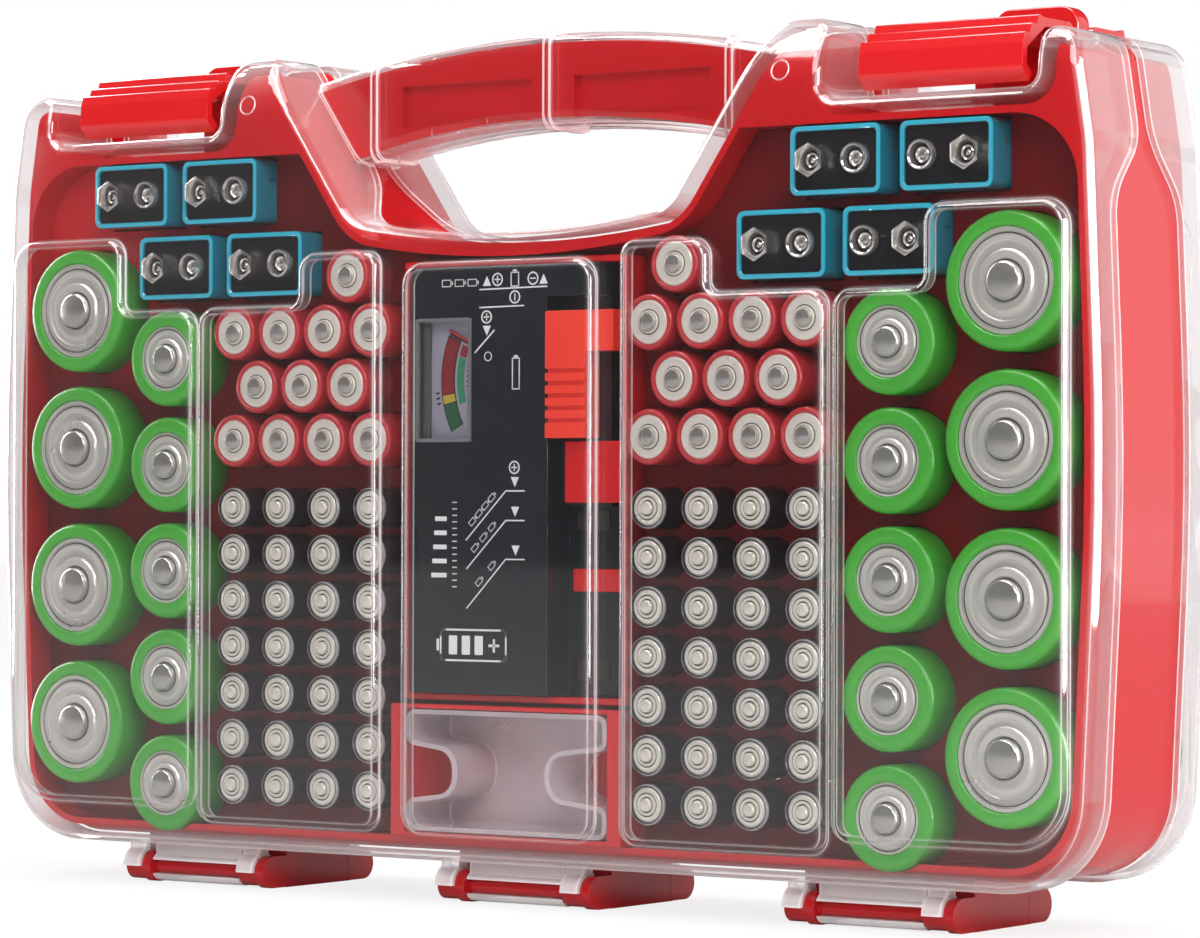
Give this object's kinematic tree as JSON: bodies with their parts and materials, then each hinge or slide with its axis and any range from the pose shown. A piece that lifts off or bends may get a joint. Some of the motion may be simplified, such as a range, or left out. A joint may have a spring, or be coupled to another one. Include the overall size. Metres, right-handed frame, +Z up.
{
  "type": "battery storage case",
  "caption": "Hard carry case for batteries: moulded body with handle, hinged clear covers front and back, top latches, perforated trays with cells, a battery tester and a coin cell tray.",
  "frame": {"origin": "bottom centre of the bounding box, on the plane of the feet under the hinge blocks", "axes": "+X along the case's length, +Y from the front cover to the back cover, +Z up through the handle"},
  "size_m": [0.3504, 0.0672, 0.2299],
  "materials": {
    "red_plastic": "glossy moulded plastic",
    "dark_red_plastic": "glossy moulded plastic in the case's shade",
    "black_plastic": "fine satin moulding",
    "clear_plastic": "clear polished moulding",
    "dial_plastic": "printed card",
    "needle_plastic": "painted pointer",
    "steel": "plated",
    "green_cell": null,
    "red_cell": null,
    "dark_cell": null,
    "teal_cell": null
  },
  "bodies": {
    "case": {"body_shell": "red_plastic", "front_tray": "dark_red_plastic", "rear_tray": "dark_red_plastic", "tester_bay": "red_plastic", "coin_bay": "red_plastic", "latch_bracket_left": "red_plastic", "latch_bracket_right": "red_plastic", "latch_pins": "steel", "hinge_block_left": "red_plastic", "hinge_block_centre": "red_plastic", "hinge_block_right": "red_plastic", "d_cells": "green_cell", "c_cells": "green_cell", "aa_cells": "red_cell", "aaa_cells": "dark_cell", "nine_volt_cells": "teal_cell", "tester_body": "black_plastic", "tester_window": "clear_plastic", "tester_dial": "dial_plastic", "tester_contacts": "steel", "coin_cell_box": "clear_plastic"},
    "front_cover_body": {"front_cover": "clear_plastic"},
    "back_cover_body": {"back_cover": "clear_plastic"},
    "tester_slide_body": {"tester_slider": "red_plastic"},
    "needle_body": {"tester_needle": "needle_plastic"},
    "latch_front_left_body": {"latch_front_left": "red_plastic"},
    "latch_front_right_body": {"latch_front_right": "red_plastic"},
    "latch_back_left_body": {"latch_back_left": "red_plastic"},
    "latch_back_right_body": {"latch_back_right": "red_plastic"}
  },
  "joints": [
    {"name": "front_cover_hinge", "type": "hinge", "parent": "case", "child": "front_cover_body", "pos_m": [0, -0.02, 0.0044], "axis": [1, 0, 0], "range_deg": [0, 180]},
    {"name": "back_cover_hinge", "type": "hinge", "parent": "case", "child": "back_cover_body", "pos_m": [0, 0.02, 0.0044], "axis": [-1, 0, 0], "range_deg": [0, 180]},
    {"name": "latch_front_left_hinge", "type": "hinge", "parent": "case", "child": "latch_front_left_body", "pos_m": [0, -0.0072, 0.2195], "axis": [-1, 0, 0], "range_deg": [0, 90]},
    {"name": "latch_back_left_hinge", "type": "hinge", "parent": "case", "child": "latch_back_left_body", "pos_m": [0, 0.0072, 0.2195], "axis": [1, 0, 0], "range_deg": [0, 90]},
    {"name": "latch_front_right_hinge", "type": "hinge", "parent": "case", "child": "latch_front_right_body", "pos_m": [0, -0.0072, 0.2195], "axis": [-1, 0, 0], "range_deg": [0, 90]},
    {"name": "latch_back_right_hinge", "type": "hinge", "parent": "case", "child": "latch_back_right_body", "pos_m": [0, 0.0072, 0.2195], "axis": [1, 0, 0], "range_deg": [0, 90]},
    {"name": "tester_slide", "type": "slide", "parent": "case", "child": "tester_slide_body", "axis": [0, 0, 1], "range_m": [0, 0.003]},
    {"name": "needle_swing", "type": "hinge", "parent": "case", "child": "needle_body", "pos_m": [0.005, -0.0242, 0.1373], "axis": [0, -1, 0], "range_deg": [0, 54], "stiffness_Nm_per_rad": 0.00002}
  ]
}
